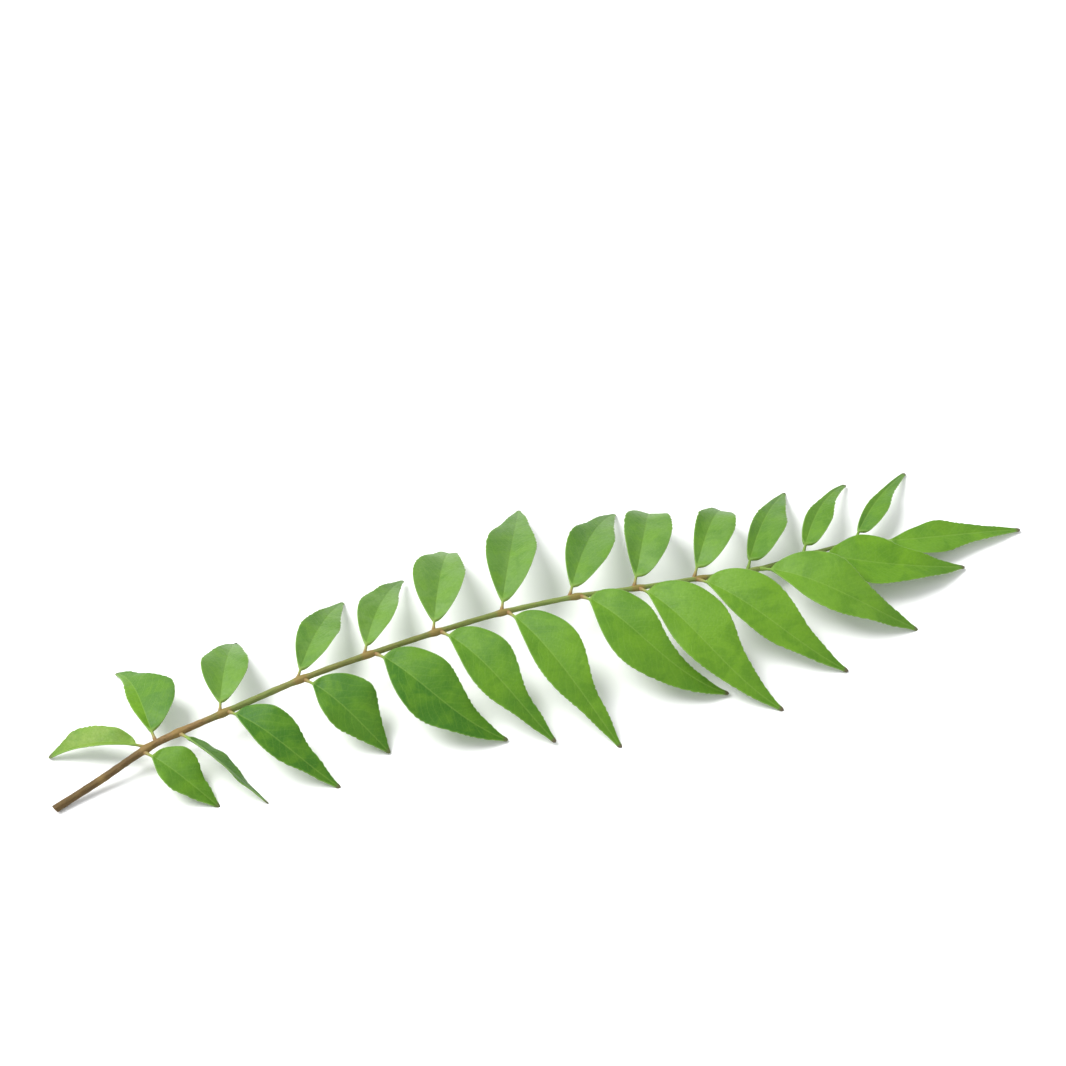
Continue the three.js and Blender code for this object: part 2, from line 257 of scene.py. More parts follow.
def rachis_tangent(share):
    """The direction of the rachis axis, at a share of the knots passed."""
    reach = 1e-4
    return unit(rachis_point(min(share + reach, 1)) - rachis_point(max(share - reach, 0)))


def frame_along(heading, pitch):
    """Forward, left and up directions for arrays of headings and pitches, in radians."""
    level = np.cos(pitch)
    forward = np.stack([level * np.cos(heading), level * np.sin(heading), np.sin(pitch)], -1)
    left = np.stack([-np.sin(heading), np.cos(heading), np.zeros_like(heading)], -1)
    return forward, left, np.cross(forward, left)


# ---------------------------------------------------------------- meshes
def place(points):
    """Design millimetres to metres in the frame, with nothing below the table."""
    return (np.maximum(points, LOWEST) - BOX_CENTRE) * MM


def link(name, data):
    """A new object with this data, in the scene."""
    thing = bpy.data.objects.new(name, data)
    bpy.context.scene.collection.objects.link(thing)
    return thing


def mesh_object(name, points, faces, attributes, material):
    """A smooth mesh, with the numbers that its material reads stored at its points."""
    mesh = bpy.data.meshes.new(name)
    mesh.from_pydata(place(points).tolist(), [], faces)
    for key, values in attributes.items():
        layer = mesh.attributes.new(key, "FLOAT", "POINT")
        layer.data.foreach_set("value", np.asarray(values, dtype=np.float32))
    mesh.materials.append(material)
    mesh.shade_smooth()
    mesh.update()
    return link(name, mesh)


def ring_faces(rings, sides):
    """Faces of a closed tube of rings, capped by one point at each end, which come last."""
    faces = []
    for ring in range(rings - 1):
        a, b = ring * sides, (ring + 1) * sides
        for side in range(sides):
            after = (side + 1) % sides
            faces.append((a + side, a + after, b + after, b + side))
    start, end = rings * sides, rings * sides + 1
    last = (rings - 1) * sides
    for side in range(sides):
        after = (side + 1) % sides
        faces.append((start, after, side))
        faces.append((end, last + side, last + after))
    return faces


# ---------------------------------------------------------------- leaflets
# Points of a leaflet's mesh: distance from the rachis and share of the blade for each ring, place across
# (-1 to 1) and whether in the front half for each column, then half width and distance from the midrib
Grid = namedtuple("Grid", "distance share across is_front half reach")


def across_places():
    """Places across a blade from its right margin to its left one, close together at midrib and margins."""
    x = np.linspace(0, 1, HALF_ACROSS + 1)
    half = x - COLUMN_CROWDING * np.sin(2 * math.pi * x) / (2 * math.pi)
    return np.concatenate([-half[:0:-1], half])


def half_outline(outline, share):
    """Share of its full width that a half blade has at shares of its length."""
    widest, bluntness, drawn_out = outline
    rising = np.sin(math.pi / 2 * np.clip(share / widest, 0, 1)) ** bluntness
    beyond = np.clip((share - widest) / (1 - widest), 0, 1)
    hollow = drawn_out * np.sin(math.pi * beyond) ** 2
    falling = np.cos(math.pi / 2 * beyond) ** TIP_POINT * (1 - hollow)
    return np.where(share < widest, rising, falling)


def teeth(distance, share, half, start):
    """Scallops of the margin: rounded uneven lobes that lean forward, none near the base."""
    turn = distance / TOOTH_LENGTH + start + swing(TOOTH_DRIFT, distance, start)
    lobe = np.sin(math.pi * (turn % 1) ** TOOTH_LEAN) - TOOTH_MIDDLE
    size = TOOTH_DEPTH * (1 + swing(TOOTH_VARIATION, np.floor(turn), start))
    return size * lobe * smooth(*TEETH_START, share) * smooth(*TEETH_WIDTH, half)


def half_widths(leaf, width, outline, distance, start):
    """Half width at distances from the rachis: the stalk's, then the blade's with its teeth and blunt tip."""
    on_blade = distance - STALK_LENGTH
    share = np.clip(on_blade / leaf.length, 0, 1)
    plain = width * half_outline(outline, share)
    blade = np.maximum(plain + teeth(on_blade, share, plain, start), 0)
    stalk = STALK_RADIUS + STALK_SWELLING * (1 - smooth(*STALK_FOOT, distance))
    narrow = np.where(share > 0.5, TIP_RADIUS, stalk)
    to_end = leaf.length - on_blade
    return np.sqrt(blade ** 2 + narrow ** 2) * rounded_end(to_end, TIP_ROUNDING, TIP_LEAST)


def leaflet_grid(leaf, rng):
    """The grid of one leaflet's mesh. The margins of its two halves have teeth of their own."""
    distance = np.concatenate([
        np.linspace(0, STALK_LENGTH, STALK_RINGS, endpoint=False),
        STALK_LENGTH + leaf.length * np.linspace(0, 1, BLADE_RINGS) ** RING_CROWDING,
    ])
    front = half_widths(leaf, leaf.front_width, leaf.front_outline, distance, rng.random())
    back = half_widths(leaf, leaf.back_width, leaf.back_outline, distance, rng.random())
    across = across_places()
    is_front = across * leaf.row.side < 0
    half = np.where(is_front, front[:, None], back[:, None])
    share = np.clip((distance - STALK_LENGTH) / leaf.length, 0, 1)
    return Grid(distance[:, None], share[:, None], across, is_front, half, half * np.abs(across))


def leaflet_lines(leaf, distance):
    """Centre, left and up directions of the midrib at distances from the rachis."""
    share = leaf.knot / (len(KNOTS) - 1)
    tangent = rachis_tangent(share)
    root = rachis_point(share) + leaf.ahead * tangent
    base_heading = math.atan2(tangent[1], tangent[0])
    side = leaf.row.side
    total = STALK_LENGTH + leaf.length

    def directions(f):
        heading = base_heading + side * np.radians(through_three(leaf.turn, f))
        return frame_along(heading, np.radians(through_three(leaf.pitch, f)))

    stations = np.linspace(0, 1, MIDRIB_STEPS + 1)
    steps = directions(stations)[0] * total / MIDRIB_STEPS
    steps[0] = 0
    line = root + np.cumsum(steps, axis=0)
    centre = np.stack([np.interp(distance / total, stations, line[:, k]) for k in range(3)], -1)
    _, left, up = directions(distance / total)
    roll = math.radians(-side * leaf.roll)
    return centre, left * math.cos(roll) + up * math.sin(roll), up * math.cos(roll) - left * math.sin(roll)


def wave(share, turns, starts):
    """Two waves along a blade, the second one lower."""
    return np.sin(share * turns[0] + starts[0]) + SECOND_WAVE_SHARE * np.sin(share * turns[1] + starts[1])


def folded_sheet(leaf, grid, starts):
    """The middle of the leaflet's thickness: each half rises from the midrib, arched and a little wavy."""
    centre, left, up = leaflet_lines(leaf, grid.distance[:, 0])
    fold = np.radians(leaf.row.fold * (1 - FOLD_FADE * (grid.distance / grid.distance[-1]) ** 2))
    rounded = np.sqrt(grid.reach ** 2 + FOLD_ROUNDING ** 2) - FOLD_ROUNDING
    lift = rounded * np.sin(fold) - HALF_CAMBER * grid.reach ** 2
    size = WAVE_HEIGHT * smooth(*WAVE_START, grid.share) * grid.across ** 2 * smooth(*WAVE_WIDTH, grid.half)
    front, back = wave(grid.share, FRONT_WAVES, starts[:2]), wave(grid.share, BACK_WAVES, starts[2:])
    lift = lift + size * np.where(grid.is_front, front, back)
    aside = np.sign(grid.across) * grid.reach * np.cos(fold)
    sheet = centre[:, None] + left[:, None] * aside[..., None] + up[:, None] * lift[..., None]
    sheet[..., 2] -= TIP_DROOP * grid.share ** 2
    return sheet


def vein_phase(grid, start):
    """A count of the side veins, which lean forward. Each vein lies halfway between two whole numbers."""
    count = (grid.distance - VEIN_LEAN * grid.reach - VEIN_CURVE * grid.reach ** 2) / VEIN_SPACING
    stagger = np.where(grid.is_front, 0.0, VEIN_STAGGER)
    return count + stagger + swing(VEIN_WANDER, grid.distance, start)


def heights(grid, phase):
    """How far the top and the underside lie from the sheet between them: thickness and veins."""
    blade = smooth(*BLADE_START, grid.share)
    rim = 1 + (RIM_POWER - 1) * blade
    profile = np.sqrt(np.maximum(1 - np.abs(grid.across) ** (2 * rim), 0))
    stalk = np.minimum(grid.half[:, :1], grid.half[:, -1:])
    stalk = np.minimum(stalk, STALK_RADIUS + STALK_SWELLING)
    thickness = (1 - blade) * stalk + blade * BLADE_THICKNESS / 2

    to_rim = grid.half - grid.reach
    midrib = np.exp(-(grid.reach / MIDRIB_WIDTH) ** 2) * (1 - smooth(*MIDRIB_END, grid.share)) * blade
    dips = (0.5 - 0.5 * np.cos(2 * math.pi * (phase % 1))) * smooth(*SINK_FROM_MIDRIB, grid.reach)
    dips = dips * smooth(*SINK_FROM_RIM, to_rim) * blade
    ridges = np.exp(-((phase % 1 - 0.5) / VEIN_WIDTH_SHARE) ** 2) * smooth(*RISE_FROM_MIDRIB, grid.reach)
    ridges = ridges * smooth(*RISE_FROM_RIM, to_rim) * blade
    top = thickness - VEIN_SINK * dips - MIDRIB_SINK * midrib
    under = thickness + VEIN_RISE * ridges + MIDRIB_RISE * midrib * (1 - MIDRIB_TAPER * grid.share)
    return top * profile, under * profile


def around(top, under):
    """Values of the top and the underside, ring by ring, then the means of the first and last ring."""
    rings = np.concatenate([top, under[:, -2:0:-1]], axis=1)
    return np.concatenate([rings.reshape(-1, *rings.shape[2:]), rings[[0, -1]].mean(axis=1)])


def of_halves(value, grid):
    """A value for each column of a blade, given once or as a pair, for the front half and the back one."""
    front, back = value if isinstance(value, tuple) else (value, value)
    return np.where(grid.is_front, front, back)


def build_leaflet(name, leaf, material, rng):
    """One leaflet as a closed thin sheet: a round stalk, then a blade folded at its midrib."""
    grid = leaflet_grid(leaf, rng)
    starts = [rng.uniform(0, 2 * math.pi) for _ in range(4)]
    sheet = folded_sheet(leaf, grid, starts)
    phase = vein_phase(grid, starts[0])
    normal = unit(np.cross(np.gradient(sheet, axis=0), np.gradient(sheet, axis=1)))
    above, below = heights(grid, phase)
    points = around(sheet + normal * above[..., None], sheet - normal * below[..., None])

    values = {
        "along": grid.share,
        "out": grid.distance,
        "to_end": leaf.length + STALK_LENGTH - grid.distance,
        "rib": grid.reach,
        "rim": grid.half - grid.reach,
        "phase": phase,
        # Which half each point is in, for the painted shade of the left half
        "lefthand": np.sign(grid.across) * 0.5 + 0.5,
        "pale": of_halves(leaf.paleness, grid),
        "fresh": of_halves(leaf.freshness, grid),
        "brown": leaf.browning,
        "young": smooth(*YOUNG_KNOTS, leaf.knot),
    }
    size = grid.half.shape
    attributes = {"below": around(np.zeros(size), np.ones(size))}
    for key, value in values.items():
        everywhere = np.broadcast_to(value, size)
        attributes[key] = around(everywhere, everywhere)
    sides = 2 * size[1] - 2
    return mesh_object(name, points, ring_faces(size[0], sides), attributes, material)


# ---------------------------------------------------------------- the rachis
def nearness_to_knots(distance):
    """1 at each knot of the rachis and falling away from it, less at the first knot, for each ring."""
    near = np.zeros(len(distance))
    for index, at in enumerate(distance[::RACHIS_RINGS_PER_SPAN][1:]):
        strength = 1 if index > 0 else FIRST_KNOT_SHARE
        near = np.maximum(near, strength * np.exp(-((distance - at) / KNOT_LENGTH) ** 2))
    return near


def rachis_rings(centres, tangents, distance, radius, rng):
    """The rings of the rachis, ribbed and a little rough, the first ones slanted by the cut."""
    heading = np.arctan2(tangents[:, 1], tangents[:, 0])
    forward, left, up = frame_along(heading, np.arcsin(tangents[:, 2]))
    angle = rachis_angles()
    ribs = 1 + RIB_DEPTH * np.cos(RIBS * angle + distance[:, None] * RIB_TWIST)
    rough = np.array([[rng.uniform(-1, 1) for _ in angle] for _ in distance])
    rough = (rough + np.roll(rough, 1, 1) + np.roll(rough, 1, 0) + np.roll(rough, 2, 0)) / 4
    size = radius[:, None] * (ribs + BARK_DEPTH * rough)
    across, above = size * np.sin(angle), -size * np.cos(angle)
    rings = centres[:, None] + left[:, None] * across[..., None] + up[:, None] * above[..., None]
    fade = np.clip(1 - distance / CUT_SLANT_LENGTH, 0, 1)[:, None]
    slant = fade * (above / RACHIS_RADIUS[0]) * CUT_SLANT
    return rings + forward[:, None] * slant[..., None]


def rachis_angles():
    """Angles of the points round a ring, from straight below, in radians."""
    return 2 * math.pi * (np.arange(RACHIS_SIDES) + 0.5) / RACHIS_SIDES


def build_rachis(material, rng):
    """The rachis as a ribbed tube, swollen at its knots, with a slanting cut that shows pale wood."""
    shares = np.linspace(0, 1, (len(KNOTS) - 1) * RACHIS_RINGS_PER_SPAN + 1)
    centres = np.array([rachis_point(s) for s in shares])
    tangents = np.array([rachis_tangent(s) for s in shares])
    distance = np.concatenate([[0], np.cumsum(np.linalg.norm(np.diff(centres, axis=0), axis=1))])
    near_knot = nearness_to_knots(distance)
    radius = through_three(RACHIS_RADIUS, shares) + KNOT_SWELLING * near_knot
    radius = radius * (1 + swing(SLOW_SWELL, distance) + swing(QUICK_SWELL, distance))
    radius = radius * rounded_end(distance[-1] - distance, RACHIS_END, RACHIS_END_LEAST)
    rings = rachis_rings(centres, tangents, distance, radius, rng)

    face = [centres[0] + (rings[0] - centres[0]) * share + tangents[0] * depth for share, depth in CUT_FACE]
    rings = np.concatenate([np.array(face), rings])
    ends = rings[[0, -1]].mean(axis=1)
    points = np.concatenate([rings.reshape(-1, 3), ends])

    def spread(face_values, stalk_values):
        """The values of the face's rings, then of the stalk's, given to every point."""
        values = np.concatenate([face_values, stalk_values])
        return np.concatenate([np.repeat(values, RACHIS_SIDES), values[[0, -1]]])

    on_face, on_stalk = np.ones(len(CUT_FACE)), np.ones(len(shares))
    turned = np.tile(rachis_angles(), len(rings))
    attributes = {
        "out": spread(0 * on_face, distance),
        "cut": spread(on_face, 0 * on_stalk),
        "radial": spread([share for share, _ in CUT_FACE], on_stalk),
        "knot": spread(0 * on_face, near_knot),
        "round_x": np.concatenate([np.cos(turned), [0, 0]]),
        "round_y": np.concatenate([np.sin(turned), [0, 0]]),
    }
    piece = mesh_object("rachis", points, ring_faces(len(rings), RACHIS_SIDES), attributes, material)
    piece.data.set_sharp_from_angle(angle=math.radians(CUT_EDGE_ANGLE))
    return piece


# ---------------------------------------------------------------- materials
class Shader:
    """A node material with one Principled shader, and short ways to add nodes to it."""

    def __init__(self, name):
        self.material = bpy.data.materials.new(name)
        self.material.use_nodes = True
        self.tree = self.material.node_tree
        self.shader = next(n for n in self.tree.nodes if n.type == "BSDF_PRINCIPLED")

    def node(self, kind, **settings):
        node = self.tree.nodes.new(kind)
        for key, value in settings.items():
            setattr(node, key, value)
        return node

    def feed(self, socket, value):
        if isinstance(value, bpy.types.NodeSocket):
            self.tree.links.new(value, socket)
        else:
            socket.default_value = (*value, 1.0) if isinstance(value, tuple) and len(value) == 3 else value

    def attribute(self, name):
        return self.node("ShaderNodeAttribute", attribute_name=name).outputs["Fac"]

    def math(self, operation, a, b=0.0, c=0.0):
        node = self.node("ShaderNodeMath", operation=operation)
        for socket, value in zip(node.inputs, (a, b, c)):
            self.feed(socket, value)
        return node.outputs[0]

    def times(self, a, b):
        return self.math("MULTIPLY", a, b)

    def plus(self, a, b):
        return self.math("ADD", a, b)

    def range(self, value, low, high, to_low=0.0, to_high=1.0, kind="SMOOTHSTEP"):
        node = self.node("ShaderNodeMapRange", interpolation_type=kind)
        for socket, given in zip(node.inputs, (value, low, high, to_low, to_high)):
            self.feed(socket, given)
        return node.outputs[0]

    def mix(self, factor, a, b):
        node = self.node("ShaderNodeMix", data_type="RGBA")
        self.feed(node.inputs[0], factor)
        self.feed(node.inputs[6], a)
        self.feed(node.inputs[7], b)
        return node.outputs[2]

    def coordinates(self):
        return self.node("ShaderNodeTexCoord").outputs["Object"]

    def combine(self, x, y, z):
        node = self.node("ShaderNodeCombineXYZ")
        for socket, value in zip(node.inputs, (x, y, z)):
            self.feed(socket, value)
        return node.outputs[0]

    def noise(self, vector, scale, detail=3.0, distortion=0.0):
        node = self.node("ShaderNodeTexNoise")
        self.feed(node.inputs["Vector"], vector)
        node.inputs["Scale"].default_value = scale
        node.inputs["Detail"].default_value = detail
        node.inputs["Distortion"].default_value = distortion
        return node.outputs["Fac"]

    def cells(self, vector, scale, feature="F1"):
        node = self.node("ShaderNodeTexVoronoi", feature=feature)
        self.feed(node.inputs["Vector"], vector)
        node.inputs["Scale"].default_value = scale
        return node.outputs["Distance"]

    def bump(self, height, strength, distance):
        node = self.node("ShaderNodeBump")
        node.inputs["Strength"].default_value = strength
        node.inputs["Distance"].default_value = distance
        self.feed(node.inputs["Height"], height)
        return node.outputs[0]

    def set(self, **inputs):
        for key, value in inputs.items():
            self.feed(self.shader.inputs[key.replace("_", " ")], value)


# Linear colours of the leaflets
DEEP_GREEN = (0.033, 0.122, 0.006)
FRESH_GREEN = (0.112, 0.248, 0.008)
# Paler green: partly the leaflets' own tone, partly painted whitish sheen on the far leaflets and their front
# halves
PALE_GREEN = (0.125, 0.240, 0.047)
YELLOW_GREEN = (0.160, 0.257, 0.034)
BRIGHT_GREEN = (0.110, 0.240, 0.009)
# Darker green: random darker tone in the dapples and fine mottling, and painted shade on the left half and
# towards the tip
DARK_TONE_AND_PAINTED_SHADE_GREEN = (0.035, 0.123, 0.004)
UNDER_GREEN = (0.190, 0.300, 0.085)
VEIN_GREEN = (0.160, 0.300, 0.035)
MIDRIB_GREEN = (0.190, 0.320, 0.055)
RIM_GREEN = (0.210, 0.350, 0.080)
TIP_BROWN = (0.095, 0.080, 0.045)
STALK_TAN = (0.270, 0.240, 0.080)
STALK_GREEN = (0.200, 0.290, 0.050)
STALK_BROWN = (0.230, 0.130, 0.050)
STALK_YOUNG = (0.145, 0.262, 0.035)
LEAF_SHEEN = (0.9, 1.0, 0.8)

# How fully each comes in over the greens below it
UNDER_SHARE = 0.85
VEIN_SHARE = 0.12
NET_SHARE = 0.08
RIM_SHARE = 0.6
YOUNG_SHARE = 0.9

# Patterns over coordinates in metres: scale, detail and distortion
PATCHES = (75.0, 3.0, 0.6)
DAPPLES = (150.0, 4.0, 0.8)
BLOTCHES = (260.0, 4.0, 0.4)
FINE = (1500.0, 3.0)
GRAIN = (2600.0, 2.0)
NET_SCALE = 1100.0

# Ranges: the two values that each lies between, then what these become, where that isn't 0 and 1. Those from
# the midrib, the rim, the tip and along the stalk are in millimetres
PATCH_FRESHNESS = (0.3, 0.7, -0.3, 0.3)
YELLOW_PALENESS = (1.1, 1.5)
# Painted shade of the left half: how it grows away from the midrib, how paleness brings it in, and how the
# palest leaflets lose most of it
PAINTED_SHADE_FROM_MIDRIB = (0.0, 2.5, 0.0, 0.4)
PAINTED_SHADE_BY_PALENESS, PAINTED_SHADE_OF_PALEST = (0.2, 0.6), (0.86, 1.0, 1.0, 0.15)
BLOTCH_BRIGHTNESS = (0.42, 0.66, 0.0, 0.4)
DAPPLE_SHADE = (0.46, 0.66, 0.0, 0.35)
FINE_SHADE = (0.3, 0.75, 0.0, 0.2)
# Painted shade towards the tip, over the last share of the blade's length
PAINTED_SHADE_TO_TIP = (0.6, 1.0, 0.0, 0.4)
VEIN_LINE, VEIN_FROM_RIM = (0.02, 0.12, 1.0, 0.0), (0.2, 1.6)
NET_LINE = (0.0, 0.12, 1.0, 0.0)
MIDRIB_LINE, MIDRIB_BY_PALENESS = (0.08, 0.26, 1.0, 0.0), (0.1, 0.8, 0.28, 0.16)
RIM_LINE = (0.06, 0.3, 1.0, 0.0)
BROWN_FROM_TIP = (0.5, 1.8, 1.0, 0.0)
STALK_TO_TAN, STALK_TO_GREEN = (0.6, 2.0), (1.8, STALK_LENGTH)
STALK_TO_BLADE = (STALK_LENGTH - 0.6, STALK_LENGTH + 1.2)
LEAF_ROUGHNESS, UNDER_ROUGHNESS = (0.2, 0.8, 0.42, 0.55), 0.12

# Shares of the leaf's fine relief, then its strength and its height in metres
GRAIN_RELIEF, NET_RELIEF, VEIN_RELIEF = 0.5, -0.6, -0.5
LEAF_RELIEF = (0.5, 0.00008)


def leaf_greens(s, here, fine):
    """The greens of a blade's top: fresh or deep, pale (partly painted sheen), dappled, with painted shade on
    the left half and towards the tip.
    """
    pale = s.attribute("pale")
    patches = s.noise(here, *PATCHES)
    fresh = s.plus(s.attribute("fresh"), s.range(patches, *PATCH_FRESHNESS, "LINEAR"))
    color = s.mix(fresh, DEEP_GREEN, FRESH_GREEN)
    # Paleness: partly the leaflet's own tone, partly painted whitish sheen
    color = s.mix(pale, color, PALE_GREEN)
    color = s.mix(s.range(pale, *YELLOW_PALENESS), color, YELLOW_GREEN)

    # Painted shade: the left half is darker away from the midrib
    shaded = s.times(s.attribute("lefthand"), s.range(s.attribute("rib"), *PAINTED_SHADE_FROM_MIDRIB))
    shaded = s.times(shaded, s.range(pale, *PAINTED_SHADE_BY_PALENESS))
    shaded = s.times(shaded, s.range(pale, *PAINTED_SHADE_OF_PALEST))
    color = s.mix(shaded, color, DARK_TONE_AND_PAINTED_SHADE_GREEN)

    color = s.mix(s.range(s.noise(here, *BLOTCHES), *BLOTCH_BRIGHTNESS), color, BRIGHT_GREEN)
    color = s.mix(s.range(s.noise(here, *DAPPLES), *DAPPLE_SHADE), color, DARK_TONE_AND_PAINTED_SHADE_GREEN)
    color = s.mix(s.range(fine, *FINE_SHADE), color, DARK_TONE_AND_PAINTED_SHADE_GREEN)
    # Painted shade: darker towards the tip, where the blade bends down
    return s.mix(s.range(s.attribute("along"), *PAINTED_SHADE_TO_TIP), color, DARK_TONE_AND_PAINTED_SHADE_GREEN)


def leaf_stalk(s, out):
    """The colour of a leaflet's stalk: brown at its foot, then tan, then green, or green all along."""
    color = s.mix(s.range(out, *STALK_TO_TAN), STALK_BROWN, STALK_TAN)
    color = s.mix(s.range(out, *STALK_TO_GREEN), color, STALK_GREEN)
    return s.mix(s.times(s.attribute("young"), YOUNG_SHARE), color, STALK_YOUNG)


def leaf_material():
    s = Shader("leaf_surface")
    here = s.coordinates()
    rib, rim, below = s.attribute("rib"), s.attribute("rim"), s.attribute("below")
    fine = s.noise(here, *FINE)
    color = leaf_greens(s, here, fine)
    color = s.mix(s.times(below, UNDER_SHARE), color, UNDER_GREEN)

    from_vein = s.math("ABSOLUTE", s.math("SUBTRACT", s.math("FRACT", s.attribute("phase")), 0.5))
    vein = s.times(s.range(from_vein, *VEIN_LINE), s.range(rim, *VEIN_FROM_RIM))
    color = s.mix(s.times(vein, VEIN_SHARE), color, VEIN_GREEN)
    net = s.range(s.cells(here, NET_SCALE, "DISTANCE_TO_EDGE"), *NET_LINE)
    color = s.mix(s.times(net, NET_SHARE), color, VEIN_GREEN)
    midrib_share = s.range(s.attribute("pale"), *MIDRIB_BY_PALENESS)
    color = s.mix(s.times(s.range(rib, *MIDRIB_LINE), midrib_share), color, MIDRIB_GREEN)
    color = s.mix(s.times(s.range(rim, *RIM_LINE), RIM_SHARE), color, RIM_GREEN)

    tip = s.times(s.range(s.attribute("to_end"), *BROWN_FROM_TIP), s.attribute("brown"))
    color = s.mix(tip, color, TIP_BROWN)
    out = s.attribute("out")
    color = s.mix(s.range(out, *STALK_TO_BLADE), leaf_stalk(s, out), color)

    roughness = s.plus(s.range(fine, *LEAF_ROUGHNESS, "LINEAR"), s.times(below, UNDER_ROUGHNESS))
    relief = s.plus(s.times(s.noise(here, *GRAIN), GRAIN_RELIEF), s.times(net, NET_RELIEF))
    relief = s.plus(relief, s.times(vein, VEIN_RELIEF))
    s.set(Base_Color=color, Roughness=roughness, Normal=s.bump(relief, *LEAF_RELIEF))
    s.set(Specular_IOR_Level=0.2, Sheen_Weight=0.03, Sheen_Roughness=0.45, Sheen_Tint=LEAF_SHEEN)
    return s.material


# Linear colours of the rachis, from its cut end to its tip, and of the cut face
BARK_DARK = (0.090, 0.047, 0.011)
BARK_RED = (0.215, 0.125, 0.044)
BARK_TAN = (0.170, 0.180, 0.045)
BARK_YOUNG = (0.100, 0.190, 0.030)
BARK_OLIVE = (0.115, 0.150, 0.026)
BARK_GREEN = (0.170, 0.262, 0.055)
STRAND_PALE = (0.250, 0.220, 0.075)
STRAND_DARK = (0.060, 0.040, 0.009)
FLECK = (0.300, 0.250, 0.120)
KNOT_ORANGE = (0.215, 0.138, 0.036)
CUT_WOOD = (0.300, 0.210, 0.110)
CUT_BARK = (0.170, 0.110, 0.045)
PITH = (0.420, 0.340, 0.210)

# How much the bark's patterns are drawn out along the stalk, then scale, detail and distortion of each
STRAND_STRETCH, PATCH_STRETCH = 0.06, 0.35
STREAKS = (7.0, 4.0, 0.2)
BARK_PATCHES = (1.1, 3.0)
MOTTLES = (3.2, 3.0)
FLECK_SCALE = 26.0

# Ranges, as for the leaflets. Stages and those along the stalk are in millimetres from the cut, and those of
# the cut face are shares of its radius
RED_STAGE, TAN_STAGE = (20.0, 32.0), (38.0, 52.0)
YOUNG_STAGE, YOUNG_STAGE_END = (38.0, 46.0, 0.0, 0.6), (54.0, 64.0, 1.0, 0.0)
OLIVE_STAGE, GREEN_STAGE = (62.0, 84.0), (95.0, 135.0, 0.0, 0.9)
RED_PATCHES = (0.5, 0.75, 0.0, 0.3)
DARK_MOTTLES, MOTTLES_ALONG = (0.48, 0.66), (30.0, 60.0, 0.6, 0.15)
PALE_STREAKS, PALE_ALONG = (0.4, 0.75, 0.0, 0.5), (15.0, 50.0, 0.45, 1.0)
DARK_STREAKS = (0.55, 0.25, 0.0, 0.45)
ORANGE_KNOTS, ORANGE_ALONG = (0.03, 0.6, 0.0, 0.7), (170.0, 178.0, 1.0, 0.1)
PALE_FLECKS = (0.1, 0.22, 0.5, 0.0)
PITH_EDGE, WOOD_EDGE = (0.14, 0.34), (0.75, 0.85)
BARK_ROUGHNESS = (0.2, 0.8, 0.5, 0.75)

# Share of the patches in the bark's fine relief, then its strength and its height in metres
PATCH_RELIEF = 0.4
BARK_RELIEF = (0.6, 0.00015)


def bark_stages(s, out):
    """The bark's plain colour from the cut on: dark, reddish, tan, green for a while, olive, green."""
    color = s.mix(s.range(out, *RED_STAGE), BARK_DARK, BARK_RED)
    color = s.mix(s.range(out, *TAN_STAGE), color, BARK_TAN)
    young = s.times(s.range(out, *YOUNG_STAGE), s.range(out, *YOUNG_STAGE_END))
    color = s.mix(young, color, BARK_YOUNG)
    color = s.mix(s.range(out, *OLIVE_STAGE), color, BARK_OLIVE)
    return s.mix(s.range(out, *GREEN_STAGE), color, BARK_GREEN)


def cut_face(s):
    """The cut face from its middle out: pith, wood and a ring of bark."""
    radial = s.attribute("radial")
    wood = s.mix(s.range(radial, *PITH_EDGE), PITH, CUT_WOOD)
    return s.mix(s.range(radial, *WOOD_EDGE), wood, CUT_BARK)


def rachis_material():
    s = Shader("stalk_bark")
    out = s.attribute("out")
    strands = s.combine(s.times(out, STRAND_STRETCH), s.attribute("round_x"), s.attribute("round_y"))
    patches = s.combine(s.times(out, PATCH_STRETCH), s.attribute("round_x"), s.attribute("round_y"))
    streak = s.noise(strands, *STREAKS)
    patch = s.noise(patches, *BARK_PATCHES)
    color = s.mix(s.range(patch, *RED_PATCHES), bark_stages(s, out), BARK_RED)
    mottles = s.range(s.noise(patches, *MOTTLES), *DARK_MOTTLES)
    color = s.mix(s.times(mottles, s.range(out, *MOTTLES_ALONG)), color, STRAND_DARK)
    pale_streaks = s.range(streak, *PALE_STREAKS)
    color = s.mix(s.times(pale_streaks, s.range(out, *PALE_ALONG)), color, STRAND_PALE)
    color = s.mix(s.range(streak, *DARK_STREAKS), color, STRAND_DARK)
    knots = s.range(s.attribute("knot"), *ORANGE_KNOTS)
    color = s.mix(s.times(knots, s.range(out, *ORANGE_ALONG)), color, KNOT_ORANGE)
    color = s.mix(s.range(s.cells(strands, FLECK_SCALE), *PALE_FLECKS), color, FLECK)
    color = s.mix(s.attribute("cut"), color, cut_face(s))
    relief = s.plus(streak, s.times(patch, PATCH_RELIEF))
    s.set(Base_Color=color, Roughness=s.range(streak, *BARK_ROUGHNESS, "LINEAR"))
    s.set(Normal=s.bump(relief, *BARK_RELIEF), Specular_IOR_Level=0.28)
    return s.material


# ---------------------------------------------------------------- the pieces
SEED = 817


def build_pieces():
    rng = random.Random(SEED)
    leaf, bark = leaf_material(), rachis_material()
    rachis = build_rachis(bark, rng)
    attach(rachis, "root")
    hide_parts("frond")
    leaflets = [("leaflet_far_%02d" % (i + 1), one) for i, one in enumerate(FAR_LEAFLETS)]
    leaflets += [("leaflet_near_%02d" % (i + 1), one) for i, one in enumerate(NEAR_LEAFLETS)]
    leaflets += [("leaflet_end", END_LEAFLET)]
    for name, one in leaflets:
        piece = build_leaflet(name, one, leaf, rng)
        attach(piece, "root")
        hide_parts("frond")


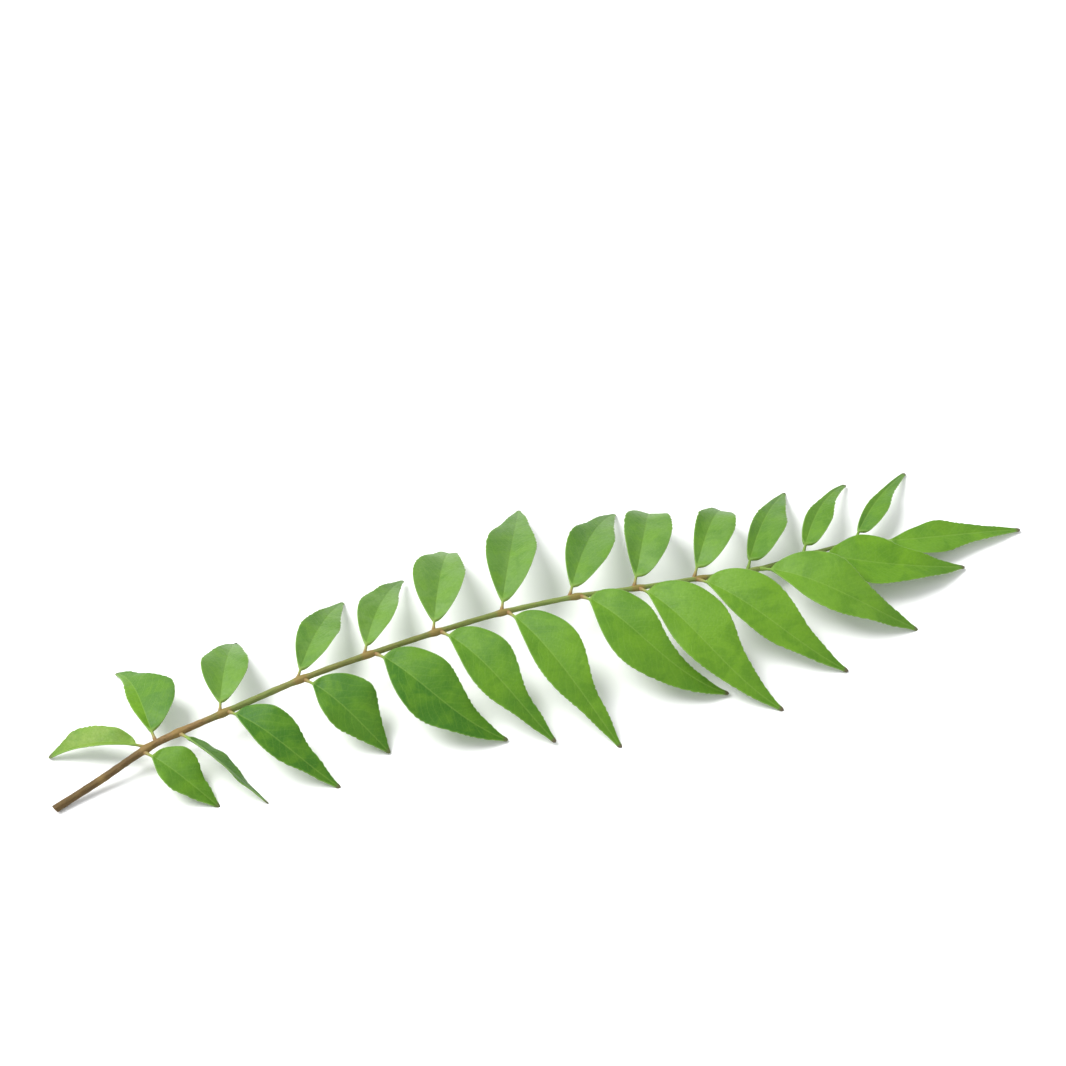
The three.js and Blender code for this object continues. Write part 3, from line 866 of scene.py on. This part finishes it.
# ---------------------------------------------------------------- floor, light and camera, in metres
FLOOR_HALF = 3.0
FLOOR_GREY = (0.93, 0.93, 0.93)
SKY_COLOR = (0.97, 0.985, 1.0, 1.0)
SKY_STRENGTH = 0.82
KEY_AT, KEY_SIZE, KEY_POWER = Vector((-0.75, 0.6, 1.3)), 1.1, 36.0
FILL_AT, FILL_SIZE, FILL_POWER = Vector((0.6, -0.5, 1.0)), 1.0, 0.5
AIM = Vector((0.0102, 0.0333, 0.0))
CAMERA_AT = Vector((-0.1705, -0.4277, 0.5499))
LENS, SENSOR = 100.0, 36.0


def floor_material():
    s = Shader("plain_floor")
    s.set(Base_Color=FLOOR_GREY, Roughness=0.9, Specular_IOR_Level=0.1)
    return s.material


def build_floor():
    mesh = bpy.data.meshes.new("floor")
    corners = [(-1, -1), (1, -1), (1, 1), (-1, 1)]
    mesh.from_pydata([(x * FLOOR_HALF, y * FLOOR_HALF, 0) for x, y in corners], [], [(0, 1, 2, 3)])
    mesh.materials.append(floor_material())
    floor = link("floor", mesh)


def aim_from(thing, at):
    """Puts a camera or light at a place and turns it to the frond."""
    thing.location = at
    thing.rotation_euler = (AIM - at).to_track_quat("-Z", "Y").to_euler()


def build_camera():
    data = bpy.data.cameras.new("camera")
    data.lens, data.sensor_width = LENS, SENSOR
    camera = link("camera", data)
    aim_from(camera, CAMERA_AT)
    bpy.context.scene.camera = camera


def area_light(name, at, size, power):
    data = bpy.data.lights.new(name, "AREA")
    data.shape, data.size, data.energy = "DISK", size, power
    aim_from(link(name, data), at)


def build_light():
    world = bpy.data.worlds.new("studio")
    world.use_nodes = True
    background = world.node_tree.nodes["Background"]
    background.inputs["Color"].default_value = SKY_COLOR
    background.inputs["Strength"].default_value = SKY_STRENGTH
    bpy.context.scene.world = world
    area_light("key_softbox", KEY_AT, KEY_SIZE, KEY_POWER)
    area_light("fill_softbox", FILL_AT, FILL_SIZE, FILL_POWER)
    bpy.context.scene.view_settings.view_transform = "Standard"


build_camera()
build_pieces()
build_floor()
build_light()
